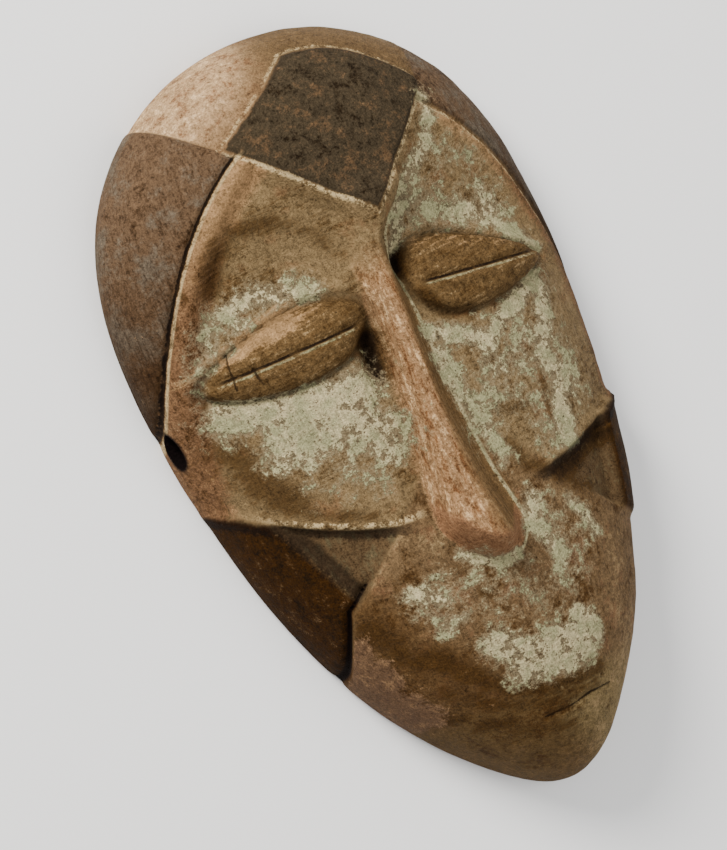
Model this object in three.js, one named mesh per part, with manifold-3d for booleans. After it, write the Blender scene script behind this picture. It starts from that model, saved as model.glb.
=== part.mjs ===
// A small carved wooden face mask, lying face up on its rim.
// Millimetres. X runs to the right of someone who looks at the face, Y to the top of the head,
// Z out of the face. The rim lies in the plane Z = 0, and the origin is the middle of its outline.
import * as THREE from "three";
import Module from "manifold-3d";

// Driving sizes of the blank: an egg-shaped outline, a crest along its middle and rounded sections
const LENGTH = 130;
const HALF_LENGTH = LENGTH / 2;
const OUTLINE = [36.1, 8.1, 6.2, 7.2, -6.9]; // half width, its growth to the brow, and its finer turns
const CREST = [21.0, -1.9, 3.2, 2.0]; // height along the middle, and its change from chin to crown
const CREST_BLUNTNESS = 4.5; // how late the crest turns down to the rim at either end
const CREST_ROUNDING = 0.45;
const SECTION_WIDTH_POWER = 2.2;
const SECTION_HEIGHT_POWER = 2.2;

// The hollow, as a share of the blank in each direction, and the two ear holes through the wall
const HOLLOW_SHARE = { x: 0.82, y: 0.9, z: 0.6 };
const EAR_HOLE = { leftY: 12.8, rightY: 3.8, z: 4.8, halfLength: 3, halfHeight: 1.7 };
const EAR_PIN = { length: 26, sides: 20 }; // it cuts an ear hole, and is longer than the wall is thick

// The face was laid out a little askew in the blank: its drawing leans and sits off the middle
const FACE_LEAN = THREE.MathUtils.degToRad(7.2);
const FACE_SHIFT = 2;

// How finely the solid follows the blank, and then the carving
const ROWS = 26;
const COLUMNS = 22;
const HOLLOW_ROWS = 20;
const HOLLOW_COLUMNS = 16;
const REFINEMENTS = 4;
const FINEST_EDGE = 0.7;
const CARVING_TOLERANCE = 0.22;
const SOFT = 1.4; // half width of a carved step
const SMALL_STEP = 0.01; // the reach over which slopes are measured
const SKIN_TOLERANCE = 0.03; // how near a level of zero counts as on the blank's skin
const CHORD_DEPTH = 0.3; // how far below zero the level drops halfway along an edge on the skin
const HOLLOW_SKIRT = 2; // how far the hollow's cutter reaches below the rim plane

// The ring is the oval that bounds the face: outside it lie the temples
const RING = { halfWidth: 37.5, halfHeight: 51, y: 2 };
const BROW = { x: 1.8, y: 33.6, leftSlope: 0.85, rightSlope: 0.96 }; // the V below the forehead
// The forehead panel ends in a round top and, on the left, in a slanting line
const FOREHEAD = { top: 60.1, curve: 0.03, leftTop: 61.1, leftSlope: 0.68, proud: 0.5 };
const GROOVE = { depth: 0.7, halfWidth: 0.9 };

// The face's two sides differ: the temple's top corner and how proud the temple stands, the border
// inside the ring, the flank of the nose at its top and tip and how far its foot swings out below the
// brow, the ridge of the cheek, the crease of the jaw and the muzzle
const LEFT = {
  temple: { x: 16.8, y: 48.6, slope: 0.94, proud: 0.9 },
  border: { width: 1.8, proud: 0.8 },
  nose: { top: 3.6, tip: 6.2, flare: 2.2, topFlank: 2.8, tipFlank: 2.8, swing: 0.5 },
  ridgeCurve: 0.0115,
  crease: { x: 29.7, slope: 0.52, bandDepth: 0.1 },
  muzzle: { slope: 1.05, side: 22.8, proud: 0.1 },
};
const RIGHT = {
  temple: { x: 17.8, y: 49.1, slope: 2.6, proud: -0.1 },
  border: { width: 0.6, proud: -0.2 },
  nose: { top: 2.9, tip: 8.8, flare: 2.6, topFlank: 1.2, tipFlank: 7.2, swing: 6 },
  ridgeCurve: 0.005,
  crease: { x: 28.8, slope: 0.12, bandDepth: -0.4 },
  muzzle: { slope: 0.77, side: HALF_LENGTH, proud: -0.5 },
};
const SIDE_BLEND = 8; // how far from the middle one side's heights have given way to the other's
const BORDER_FALL = 3.2;

// The recessed face: cheeks, the deeper sockets and a pit at each inner corner of the eyes
const CHEEK_DEPTH = 1.0;
const SOCKET = { x: 15, y: 27, halfWidth: 13, halfHeight: 9.5, depth: 3 };
const PITS = [
  { x: -5.6, y: 12.5, halfWidth: 2.2, halfHeight: 4.8, depth: 3.2 },
  { x: 4.6, y: 24.8, halfWidth: 2.0, halfHeight: 3.2, depth: 2.6 },
];
// The eyes are almond-shaped lenses that taper outwards, each parted by a slit
const EYES = [
  {
    x: -18, y: 17.1, halfLength: 14.1, halfHeight: 5.6, tilt: 0.12, taper: -0.2,
    slit: { y: 16.9, tilt: 0.07 },
  },
  {
    x: 17.2, y: 19.6, halfLength: 13.4, halfHeight: 6, tilt: -0.15, taper: 0.5,
    slit: { y: 19.5, tilt: -0.08 },
  },
];
const EYE = { proud: 2.6, fullness: 0.6, slitDepth: 0.9, slitHalfWidth: 0.8, slitShare: 0.78 };

// The nose widens and rises from the brow to its tip, and ends in a steep facet
const NOSE = {
  top: 41, fade: 5, tip: -19.8, topHeight: 1.2, tipHeight: 7.4,
  end: -24.8, endX: 3, endRounding: 0.115, swingLow: 28, swingHigh: 37,
};

// The jaw: a ridge closes each cheek, below it lies a sunk facet, and the muzzle stands out
const JAW = {
  shift: 2.2, apexX: 12.9, apexY: -13.8,
  ridgeSlope: 0.17, ridgeProud: 0.5, ridgeHalfWidth: 1.2,
  innerBlend: 3, facetDepth: 1.8, creaseY: -8,
};
const MUZZLE = {
  topSoftness: 2.8,
  bow: { y: -32, halfHeight: 7, width: 1.0 },
  bulge: { x: 4, y: -34, halfWidth: 15, halfHeight: 13, proud: 1.0 },
};
const CHIN_GROOVE = { depth: 1.0, halfWidth: 0.9, top: -22, bottom: -35, fade: 4 };

const RIM = { height: 5, reliefShare: 0.35 }; // the carving flattens out towards the rim

const WOOD = { colour: 0x8a6a4c, roughness: 0.8 };

// Soft steps and bumps that the carving is made of
function step(from, to, value) {
  const t = THREE.MathUtils.clamp((value - from) / (to - from), 0, 1);
  return t * t * (3 - 2 * t);
}

function side(distance) {
  return step(-SOFT, SOFT, distance);
}

function bump(distance, halfWidth) {
  return Math.exp(-((distance / halfWidth) ** 2));
}

function polynomial(terms, t) {
  return terms.reduceRight((sum, term) => sum * t + term, 0);
}

function sideOf(x, middle = 0) {
  return x < middle ? LEFT : RIGHT;
}

// The blank: half width and crest height at a place along its length
function halfWidthAt(y) {
  const t = THREE.MathUtils.clamp(y / HALF_LENGTH, -1, 1);
  return Math.sqrt(1 - t * t) * polynomial(OUTLINE, t);
}

function crestAt(y) {
  const t = THREE.MathUtils.clamp(y / HALF_LENGTH, -1, 1);
  const fall = Math.pow(1 - Math.pow(Math.abs(t), CREST_BLUNTNESS), CREST_ROUNDING);
  return fall * polynomial(CREST, t);
}

// Zero on the skin of the blank, negative inside
function blankLevel(x, y, z) {
  const across = Math.pow(Math.abs(x) / Math.max(halfWidthAt(y), 1e-6), SECTION_WIDTH_POWER);
  const up = Math.pow(Math.abs(z) / Math.max(crestAt(y), 1e-6), SECTION_HEIGHT_POWER);
  return across + up - 1;
}

// The direction out of the blank, kept level on the rim so that the carving leaves the rim flat
function blankNormal(x, y, z) {
  const h = SMALL_STEP;
  const inside = THREE.MathUtils.clamp(y, 2 * h - HALF_LENGTH, HALF_LENGTH - 2 * h);
  const normal = new THREE.Vector3(
    blankLevel(x + h, inside, z) - blankLevel(x - h, inside, z),
    blankLevel(x, inside + h, z) - blankLevel(x, inside - h, z),
    z < h ? 0 : blankLevel(x, inside, z + h) - blankLevel(x, inside, z - h),
  );
  return normal.normalize();
}

// The carved height over the blank, at a place in the face's own drawing
function oval(x, y, feature) {
  return bump(x - feature.x, feature.halfWidth) * bump(y - feature.y, feature.halfHeight);
}

function ringDistance(x, y) {
  const u = x / RING.halfWidth;
  const v = (y - RING.y) / RING.halfHeight;
  const reach = Math.hypot(u, v);
  const slope = Math.hypot(u / RING.halfWidth, v / RING.halfHeight);
  return slope > 0 ? ((1 - reach) * reach) / slope : RING.halfWidth;
}

function belowBrow(x, y) {
  const slope = x < BROW.x ? BROW.leftSlope : BROW.rightSlope;
  return (BROW.y + slope * Math.abs(x - BROW.x) - y) / Math.hypot(1, slope);
}

function outerHeight(x, y) {
  const corner = sideOf(x).temple;
  const belowCorner = corner.y + corner.slope * (Math.abs(x) - corner.x) - y;
  const temple = side(belowCorner / Math.hypot(1, corner.slope)) * side(-ringDistance(x, y));
  const belowRoundTop = FOREHEAD.top - FOREHEAD.curve * x * x - y;
  const belowSlant = (FOREHEAD.leftTop + FOREHEAD.leftSlope * x - y) / Math.hypot(1, FOREHEAD.leftSlope);
  const belowTop = Math.min(belowRoundTop, belowSlant);
  const forehead = side(belowTop) * side(-belowBrow(x, y)) * (1 - temple);
  return corner.proud * temple + FOREHEAD.proud * forehead;
}

function eyeHeight(x, y) {
  let height = 0;
  for (const eye of EYES) {
    const along = (x - eye.x) / eye.halfLength;
    const halfHeight = eye.halfHeight * (1 - eye.taper * THREE.MathUtils.clamp(along, -1, 1));
    const across = (y - eye.y - eye.tilt * (x - eye.x)) / halfHeight;
    const lid = Math.max(0, 1 - along ** 2 - across ** 2);
    const overSlit = y - eye.slit.y - eye.slit.tilt * (x - eye.x);
    const open = lid > 0 ? step(1, EYE.slitShare, Math.abs(along)) : 0;
    height += EYE.proud * lid ** EYE.fullness;
    height -= EYE.slitDepth * open * bump(overSlit, EYE.slitHalfWidth);
  }
  return height;
}

function faceHeight(x, y) {
  const ring = ringDistance(x, y);
  const { border } = sideOf(x);
  const edge = Math.min(ring - border.width, belowBrow(x, y));
  const onBorder = 1 - step(0, BORDER_FALL, edge);
  let floor = eyeHeight(x, y) - CHEEK_DEPTH - SOCKET.depth * oval(Math.abs(x), y, SOCKET);
  for (const pit of PITS) floor -= pit.depth * oval(x, y, pit);
  const across = step(-SIDE_BLEND, SIDE_BLEND, x);
  const proud = THREE.MathUtils.lerp(LEFT.border.proud, RIGHT.border.proud, across);
  return THREE.MathUtils.lerp(floor, proud, onBorder) - GROOVE.depth * bump(ring, GROOVE.halfWidth);
}

function noseHeight(x, y) {
  const { nose } = sideOf(x);
  const down = THREE.MathUtils.clamp((NOSE.top - y) / (NOSE.top - NOSE.tip), 0, 1);
  const height = THREE.MathUtils.lerp(NOSE.topHeight, NOSE.tipHeight, down);
  const swing = nose.swing * step(NOSE.swingLow, NOSE.swingHigh, y);
  const foot = THREE.MathUtils.lerp(nose.top, nose.tip, down ** nose.flare) + swing;
  const flank = THREE.MathUtils.lerp(nose.topFlank, nose.tipFlank, down);
  const across = step(foot, foot - flank, Math.abs(x));
  const aboveEnd = y - NOSE.endRounding * (x - NOSE.endX) ** 2;
  const ends = step(NOSE.top, NOSE.top - NOSE.fade, y) * step(NOSE.end, NOSE.tip, aboveEnd);
  return height * across * ends;
}

function ridgeAt(x) {
  const out = Math.max(0, Math.abs(x - JAW.shift) - JAW.apexX);
  return JAW.apexY + JAW.ridgeSlope * out + sideOf(x, JAW.shift).ridgeCurve * out * out;
}

function muzzleDistance(x, y) {
  const a = Math.abs(x - JAW.shift);
  const edge = sideOf(x, JAW.shift).muzzle;
  const slanted = (JAW.apexY - edge.slope * (a - JAW.apexX) - y) / Math.hypot(1, edge.slope);
  const bow = MUZZLE.bow.width * bump(y - MUZZLE.bow.y, MUZZLE.bow.halfHeight);
  return Math.min(slanted, edge.side + bow - a);
}

// The groove beside the chin runs down the left edge of the muzzle and fades before the rim
function chinGroove(x, y, distance) {
  if (x > JAW.shift) return 0;
  const { depth, halfWidth, top, bottom, fade } = CHIN_GROOVE;
  const along = step(top + fade, top, y) * step(bottom - fade, bottom, y);
  return depth * along * bump(distance + SOFT, halfWidth);
}

function jawHeight(x, y) {
  const { crease } = sideOf(x, JAW.shift);
  const outward = Math.abs(x - JAW.shift) - (crease.x + crease.slope * (y - JAW.creaseY));
  const band = side(outward / Math.hypot(1, crease.slope));
  const facet = -THREE.MathUtils.lerp(JAW.facetDepth, crease.bandDepth, band);
  const across = step(-SIDE_BLEND, 2 * SIDE_BLEND, x);
  const proud = THREE.MathUtils.lerp(LEFT.muzzle.proud, RIGHT.muzzle.proud, across);
  const muzzle = proud + MUZZLE.bulge.proud * oval(x, y, MUZZLE.bulge);
  const distance = muzzleDistance(x, y);
  const lower = step(CHIN_GROOVE.top + CHIN_GROOVE.fade, CHIN_GROOVE.top, y);
  const softness = THREE.MathUtils.lerp(MUZZLE.topSoftness, SOFT, lower);
  const onMuzzle = step(-softness, softness, distance);
  return THREE.MathUtils.lerp(facet, muzzle, onMuzzle) - chinGroove(x, y, distance);
}

function reliefAt(x, y) {
  const a = Math.abs(x - JAW.shift);
  const inFace = side(ringDistance(x, y)) * side(belowBrow(x, y));
  const upper = THREE.MathUtils.lerp(outerHeight(x, y), faceHeight(x, y), inFace);
  const underRidge = ridgeAt(x) - y;
  const outward = step(JAW.apexX - JAW.innerBlend, JAW.apexX + JAW.innerBlend, a);
  const blend = THREE.MathUtils.lerp(JAW.innerBlend, SOFT, outward);
  const below = step(-blend, blend, underRidge);
  const ridge = JAW.ridgeProud * bump(underRidge, JAW.ridgeHalfWidth) * outward;
  return THREE.MathUtils.lerp(upper, jawHeight(x, y), below) + ridge + noseHeight(x, y);
}

// From a place on the blank to the face's own drawing
function faceDrawing(x, y) {
  const turn = { cos: Math.cos(FACE_LEAN), sin: Math.sin(FACE_LEAN) };
  return [x * turn.cos - y * turn.sin + FACE_SHIFT, x * turn.sin + y * turn.cos];
}

// Evenly spaced parameters along a curve, so that faces keep a like size on its steep ends
function evenly(count, last, pointAt) {
  const samples = 600;
  const curve = new THREE.Curve();
  curve.arcLengthDivisions = samples;
  curve.getPoint = (t, target = new THREE.Vector3()) => target.copy(pointAt(t * last));
  return Array.from({ length: count + 1 }, (_, i) => curve.getUtoTmapping(i / count) * last);
}

function lengthwise(count) {
  const places = evenly(count, Math.PI, (turn) => {
    const y = -HALF_LENGTH * Math.cos(turn);
    return new THREE.Vector3(halfWidthAt(y) / 2, y, crestAt(y));
  });
  return places.map((turn) => -HALF_LENGTH * Math.cos(turn));
}

function sectionPoint(turn) {
  const c = Math.cos(turn);
  const x = -Math.sign(c) * Math.pow(Math.abs(c), 2 / SECTION_WIDTH_POWER);
  return [x, Math.pow(Math.max(Math.sin(turn), 0), 2 / SECTION_HEIGHT_POWER)];
}

function crosswise(count) {
  const widest = OUTLINE[0];
  const high = CREST[0];
  const places = evenly(count, Math.PI, (turn) => {
    const [x, z] = sectionPoint(turn);
    return new THREE.Vector3(x * widest, 0, z * high);
  });
  return places.map(sectionPoint);
}

// A closed dome over the outline, scaled by share, with its flat side at or below the rim plane
function domeMesh(rows, columns, share, skirt) {
  const points = [];
  const triangles = [];
  const stations = lengthwise(rows);
  const section = crosswise(columns);
  const ring = section.length;
  const chin = 0;
  points.push(0, -HALF_LENGTH * share.y, 0);
  for (const y of stations.slice(1, -1)) {
    for (const [x, z] of section) {
      points.push(x * halfWidthAt(y) * share.x, y * share.y, z * crestAt(y) * share.z);
    }
  }
  const crown = points.length / 3;
  points.push(0, HALF_LENGTH * share.y, 0);
  const at = (row, column) => 1 + row * ring + column;
  const lastRow = stations.length - 3;
  for (let row = 0; row < lastRow; row += 1) {
    for (let column = 0; column < columns; column += 1) {
      const here = at(row, column);
      const above = at(row + 1, column);
      triangles.push(here, here + 1, above + 1, here, above + 1, above);
    }
  }
  for (let column = 0; column < columns; column += 1) {
    triangles.push(chin, at(0, column + 1), at(0, column));
    triangles.push(crown, at(lastRow, column), at(lastRow, column + 1));
  }
  // The edge of the dome runs along both sides, from the chin to the crown and back
  const edge = [chin];
  for (let row = 0; row <= lastRow; row += 1) edge.push(at(row, columns));
  edge.push(crown);
  for (let row = lastRow; row >= 0; row -= 1) edge.push(at(row, 0));
  const floor = edge.map((index) => {
    if (skirt === 0) return index;
    points.push(points[3 * index], points[3 * index + 1], -skirt);
    return points.length / 3 - 1;
  });
  if (skirt > 0) {
    edge.forEach((index, i) => {
      const next = (i + 1) % edge.length;
      triangles.push(index, floor[i], floor[next], index, floor[next], edge[next]);
    });
  }
  // The flat side is a strip of cross bands between the two sides
  const half = edge.length / 2;
  triangles.push(floor[0], floor[edge.length - 1], floor[1]);
  triangles.push(floor[half], floor[half - 1], floor[half + 1]);
  for (let i = 1; i < half - 1; i += 1) {
    const right = floor[i];
    const left = floor[edge.length - i];
    const rightNext = floor[i + 1];
    const leftNext = floor[edge.length - i - 1];
    triangles.push(right, left, leftNext, right, leftNext, rightNext);
  }
  return { points, triangles };
}

// An oval pin that lies along X and cuts one ear hole
function earPin(sign) {
  const { z, halfLength, halfHeight } = EAR_HOLE;
  const y = sign < 0 ? EAR_HOLE.leftY : EAR_HOLE.rightY;
  const geometry = new THREE.CylinderGeometry(1, 1, EAR_PIN.length, EAR_PIN.sides);
  geometry.rotateZ(Math.PI / 2);
  geometry.scale(1, halfLength, halfHeight);
  geometry.translate(sign * halfWidthAt(y), y, z);
  const merged = new Map();
  const points = [];
  const corner = [];
  const position = geometry.getAttribute("position");
  for (let i = 0; i < position.count; i += 1) {
    const place = [position.getX(i), position.getY(i), position.getZ(i)];
    const key = place.map((value) => value.toFixed(4)).join();
    if (!merged.has(key)) {
      merged.set(key, points.length / 3);
      points.push(...place);
    }
    corner.push(merged.get(key));
  }
  return { points, triangles: Array.from(geometry.index.array, (i) => corner[i]) };
}

const wasm = await Module();
wasm.setup();

function solid({ points, triangles }) {
  const vertProperties = new Float32Array(points);
  const triVerts = new Uint32Array(triangles);
  return new wasm.Manifold(new wasm.Mesh({ numProp: 3, vertProperties, triVerts }));
}

// The blank with its hollow and ear holes cut, before any carving
function hollowedBlank() {
  const whole = { x: 1, y: 1, z: 1 };
  const blank = solid(domeMesh(ROWS, COLUMNS, whole, 0));
  const hollow = solid(domeMesh(HOLLOW_ROWS, HOLLOW_COLUMNS, HOLLOW_SHARE, HOLLOW_SKIRT));
  return blank.subtract(hollow).subtract(solid(earPin(-1))).subtract(solid(earPin(1))).getMesh();
}

// The two end points of the outline, where the blank's width comes to nothing
function atEnd(point) {
  return Math.abs(point.y) > HALF_LENGTH - SKIN_TOLERANCE;
}

// Points of the outer skin are told from the hollow's by their level
function onSkin(point) {
  return atEnd(point) || blankLevel(point.x, point.y, point.z) > -SKIN_TOLERANCE;
}

// An edge on the skin, and not one that crosses the rim or the flat underside of either end
function followsSkin(a, b) {
  const halfway = a.clone().lerp(b, 0.5);
  const level = blankLevel(halfway.x, halfway.y, halfway.z);
  return onSkin(a) && onSkin(b) && level > -CHORD_DEPTH;
}

function carvedPoint(point) {
  if (atEnd(point)) return point.clone();
  const share = THREE.MathUtils.lerp(RIM.reliefShare, 1, step(0, RIM.height, point.z));
  const height = share * reliefAt(...faceDrawing(point.x, point.y));
  return blankNormal(point.x, point.y, point.z).multiplyScalar(height).add(point);
}

// The middle of an edge, set back onto the round blank
function middleOnBlank(a, b) {
  const middle = a.clone().lerp(b, 0.5);
  const roundsToSettle = 3;
  for (let round = 0; round < roundsToSettle; round += 1) {
    const normal = blankNormal(middle.x, middle.y, middle.z);
    const ahead = middle.clone().addScaledVector(normal, SMALL_STEP);
    const level = blankLevel(middle.x, middle.y, middle.z);
    const rise = blankLevel(ahead.x, ahead.y, ahead.z) - level;
    middle.addScaledVector(normal, (-level / rise) * SMALL_STEP);
  }
  return middle;
}

// How far the carving departs from straight within a reach of a place, in any direction
function bendAt(point, reach) {
  const [x, y] = faceDrawing(point.x, point.y);
  const directions = 4;
  let most = 0;
  for (let i = 0; i < directions; i += 1) {
    const dx = reach * Math.cos((i * Math.PI) / directions);
    const dy = reach * Math.sin((i * Math.PI) / directions);
    const first = reliefAt(x - dx, y - dy);
    const last = reliefAt(x + dx, y + dy);
    for (const share of [-0.5, 0, 0.5]) {
      const straight = THREE.MathUtils.lerp(first, last, (1 + share) / 2);
      most = Math.max(most, Math.abs(reliefAt(x + share * dx, y + share * dy) - straight));
    }
  }
  return most;
}

// Splits the edges where the carving bends, and the faces along them
function refined({ points, triangles }) {
  const middles = new Map();
  function middleOf(a, b) {
    const key = a < b ? a + "_" + b : b + "_" + a;
    if (!middles.has(key)) middles.set(key, newMiddle(a, b));
    return middles.get(key);
  }
  function newMiddle(a, b) {
    const half = points[a].distanceTo(points[b]) / 2;
    if (half < FINEST_EDGE || !followsSkin(points[a], points[b])) return -1;
    const middle = middleOnBlank(points[a], points[b]);
    if (bendAt(middle, half) < CARVING_TOLERANCE) return -1;
    points.push(middle);
    return points.length - 1;
  }
  const split = [];
  for (let i = 0; i < triangles.length; i += 3) {
    const corner = triangles.slice(i, i + 3);
    const middle = corner.map((from, j) => middleOf(from, corner[(j + 1) % 3]));
    split.push(...splitFace(points, corner, middle));
  }
  return { points, triangles: split };
}

// The faces that replace one face whose split edges have a middle point, numbered -1 where unsplit
function splitFace(points, corner, middle) {
  const count = middle.filter((index) => index >= 0).length;
  if (count === 0) return corner;
  if (count === 3) {
    const [ab, bc, ca] = middle;
    const [a, b, c] = corner;
    return [a, ab, ca, ab, b, bc, ca, bc, c, ab, bc, ca];
  }
  // Turned so that the first edge is split, and with two split edges the second one too
  const first = middle.findIndex((index, j) => index >= 0 && (count === 1 || middle[(j + 1) % 3] >= 0));
  const turned = [0, 1, 2].map((j) => (first + j) % 3);
  const [a, b, c] = turned.map((j) => corner[j]);
  const [ab, bc] = turned.map((j) => middle[j]);
  if (count === 1) return [a, ab, c, ab, b, c];
  const across = points[a].distanceTo(points[bc]) < points[ab].distanceTo(points[c]);
  const rest = across ? [a, ab, bc, a, bc, c] : [a, ab, c, ab, bc, c];
  return [ab, b, bc, ...rest];
}

// Carving moves each point of the outer skin along the blank's normal
function carvedGeometry() {
  const blank = hollowedBlank();
  const points = [];
  for (let i = 0; i < blank.vertProperties.length; i += blank.numProp) {
    points.push(new THREE.Vector3().fromArray(blank.vertProperties, i));
  }
  let mesh = { points, triangles: Array.from(blank.triVerts) };
  for (let round = 0; round < REFINEMENTS; round += 1) mesh = refined(mesh);
  const carved = mesh.points.map((point) => (onSkin(point) ? carvedPoint(point) : point));
  const geometry = new THREE.BufferGeometry().setFromPoints(carved);
  geometry.setIndex(mesh.triangles);
  geometry.computeVertexNormals();
  return geometry;
}

const wood = new THREE.MeshStandardMaterial({
  color: WOOD.colour,
  roughness: WOOD.roughness,
  metalness: 0,
});
const mask = new THREE.Mesh(carvedGeometry(), wood);
mask.name = "mask";

const object = new THREE.Group();
object.name = "miniature_mask";
object.add(mask);

export default object;
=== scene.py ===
"""A small carved wooden face mask, lying face up: its fine carving, wear, white clay and dark panels.

The blank and its carving are worked out in millimetres, as in the CAD, and become metres in the mesh.
X runs to the right of someone who looks at the face, Y to the top of the head, Z out of the face.
"""
import functools
import math

import bpy
import numpy as np
from mathutils import Matrix, Vector
from numpy.polynomial.polynomial import polyval


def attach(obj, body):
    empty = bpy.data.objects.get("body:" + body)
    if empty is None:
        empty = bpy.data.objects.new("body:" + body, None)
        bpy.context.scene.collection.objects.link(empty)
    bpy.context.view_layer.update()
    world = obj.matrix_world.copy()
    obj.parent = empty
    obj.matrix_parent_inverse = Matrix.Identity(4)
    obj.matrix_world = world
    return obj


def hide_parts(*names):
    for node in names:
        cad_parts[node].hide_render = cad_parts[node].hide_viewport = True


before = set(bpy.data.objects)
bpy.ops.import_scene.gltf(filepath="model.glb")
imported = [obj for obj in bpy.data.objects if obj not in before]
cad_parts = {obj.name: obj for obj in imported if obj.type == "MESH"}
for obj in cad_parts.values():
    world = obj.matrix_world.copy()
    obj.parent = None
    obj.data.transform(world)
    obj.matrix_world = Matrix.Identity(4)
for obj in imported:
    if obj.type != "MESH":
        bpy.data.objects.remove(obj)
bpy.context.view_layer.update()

MM = 0.001

# The blank: an egg-shaped outline, a crest along its middle and rounded sections
HALF_LENGTH = 65.0
OUTLINE = (36.1, 8.1, 6.2, 7.2, -6.9)
CREST = (21.0, -1.9, 3.2, 2.0)
CREST_BLUNTNESS = 4.5
CREST_ROUNDING = 0.45
SECTION_POWER = 2.2
HOLLOW_SHARE = (0.82, 0.9, 0.6)
EAR_HOLE = dict(left_y=12.8, right_y=3.8, z=4.8, half_length=3.0, half_height=1.7)
EAR_PIN = dict(length=26.0, sides=48)  # it cuts an ear hole, and is longer than the wall is thick

# The face's own drawing leans in the blank and sits off its middle
FACE_LEAN = math.radians(7.2)
FACE_SHIFT = 2.0

# How finely the surface is drawn
ROWS = 300
COLUMNS = 276
HOLLOW_COLUMNS = 34
RIM_BANDS = (0.985, 0.96, 0.88)  # the rim's rows of points, as shares of the half width
CURVE_SAMPLES = 4001  # how finely a curve is measured before points are spread along it
SMALL_STEP = 0.01  # the reach over which slopes are measured
SKIN_TOLERANCE = 0.015  # how near a level of zero counts as on the blank's skin
CRISP = 0.5  # half width of a crisp carved step
WORN = 0.9  # half width of a worn one

# The oval ring round the face, the V of the brow, and the temples outside the ring
RING = dict(half_width=37.5, half_height=51.0, y=2.0)
BROW = dict(x=1.8, y=33.6, left_slope=0.85, right_slope=0.96)
FOREHEAD = dict(top=60.1, curve=0.03, left_top=61.1, left_slope=0.68, proud=0.5)
GROOVE = dict(depth=0.8, half_width=0.55)

# The two sides differ: the corner and slope of the temple's top edge, how proud the temple and the
# border stand, the border's width and fall, the crease of the jaw and the depth of the band outside it,
# the edge of the muzzle and the curve of the cheek's ridge
LEFT = dict(corner_x=16.8, corner_y=48.6, corner_slope=0.94, temple_proud=0.9,
            border_proud=0.8, border_width=1.8, border_fall=3.2,
            crease_x=29.7, crease_slope=0.52, band_depth=0.1,
            muzzle_slope=1.05, muzzle_side=22.8, muzzle_proud=0.1,
            ridge_curve=0.0115)
RIGHT = dict(corner_x=17.8, corner_y=49.1, corner_slope=2.6, temple_proud=-0.1,
             border_proud=-0.2, border_width=0.6, border_fall=3.6,
             crease_x=28.8, crease_slope=0.12, band_depth=-0.4,
             muzzle_slope=0.77, muzzle_side=HALF_LENGTH, muzzle_proud=-0.5,
             ridge_curve=0.005)
SIDE_BLEND = 8.0  # how far from the middle one side's form passes into the other's

# The recessed face, its sockets and the pit at each inner corner of the eyes
CHEEK_DEPTH = 1.0
SOCKET = dict(x=15.0, y=27.0, half_width=13.0, half_height=9.5, depth=3.0)
PITS = (
    dict(x=-5.6, y=12.5, half_width=2.2, half_height=4.8, depth=3.2),
    dict(x=4.6, y=24.8, half_width=2.0, half_height=3.2, depth=2.6),
)
EYES = (
    dict(x=-18.0, y=17.1, half_length=14.1, half_height=5.6, tilt=0.12, taper=-0.2,
         slit_y=16.9, slit_tilt=0.07),
    dict(x=17.2, y=19.6, half_length=13.4, half_height=6.0, tilt=-0.15, taper=0.5,
         slit_y=19.5, slit_tilt=-0.08),
)
# Both eyes have a slit with a raised lip below it, a crease round the lens and a lid above that
EYE = dict(proud=2.6, fullness=0.5, slit_depth=0.9, slit_half_width=0.6, slit_share=0.78,
           lip_proud=0.35, lip_off=1.0, lip_half_width=0.9, crease_depth=0.6, crease_half_width=0.45,
           lid_proud=0.45, lid_off=1.1, lid_half_width=0.8, lid_rise=(-0.2, 0.4))

# The nose widens and rises from the brow to its tip
NOSE = dict(top=41.0, fade=5.0, tip=-19.8, end=-24.8, end_x=3.0, end_rounding=0.115,
            top_height=1.2, tip_height=7.4, foot_rounding=1.5)
# Each flank of the nose: how far its foot lies from the middle at the top and at the tip, how late
# it flares, how wide the flank is there, and how far the foot swings out below the brow
NOSE_LEFT = dict(top=3.6, tip=6.2, flare=2.2, top_flank=2.8, tip_flank=2.8, swing=0.5)
NOSE_RIGHT = dict(top=2.9, tip=8.8, flare=2.6, top_flank=1.2, tip_flank=7.2, swing=6.0)
NOSE_SWING = (28.0, 37.0)

# The jaw below the cheek ridges, the muzzle and the groove beside the chin
JAW = dict(shift=2.2, apex_x=12.9, apex_y=-13.8, ridge_slope=0.17, ridge_proud=0.5, ridge_half_width=1.0,
           inner_blend=3.0, facet_depth=1.8, crease_y=-8.0, top_softness=2.8, low_softness=0.9,
           bow=1.0, bow_y=-32.0, bow_half_height=7.0)
BULGE = dict(x=4.0, y=-34.0, half_width=15.0, half_height=13.0, proud=1.0)
CHIN_GROOVE = dict(depth=1.1, half_width=0.45, top=-22.0, bottom=-36.0, fade=3.0)
MUZZLE_HARDENS = 4.0  # over this length above the groove's top the muzzle's edge turns crisper

# The relief is shallower near the rim, and the rim's outer edge is worn
RIM = dict(height=5.0, relief_share=0.35, worn_height=1.0, worn=0.35)
# The skin's unevenness as noise, each with its height, size and seed, which fades at the two ends
UNEVENNESS = ((0.22, 11.0, 1), (0.1, 4.2, 2), (0.05, 1.7, 3))
UNEVENNESS_FADE = (0.05, 2.0)
# The short cuts of the gouge in the hollow, with the roughness over them
GOUGE = dict(depth=0.45, size=4.6, stretch=(1.0, 0.45, 1.0), seed=5, start=0.4, full=3.0)
GOUGE_ROUGHNESS = dict(depth=0.1, size=1.8, seed=6)


def step(start, end, value):
    t = np.clip((value - start) / (end - start), 0.0, 1.0)
    return t * t * (3.0 - 2.0 * t)


def bump(distance, half_width):
    return np.exp(-((distance / half_width) ** 2))


def lerp(a, b, t):
    return a + (b - a) * t


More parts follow.
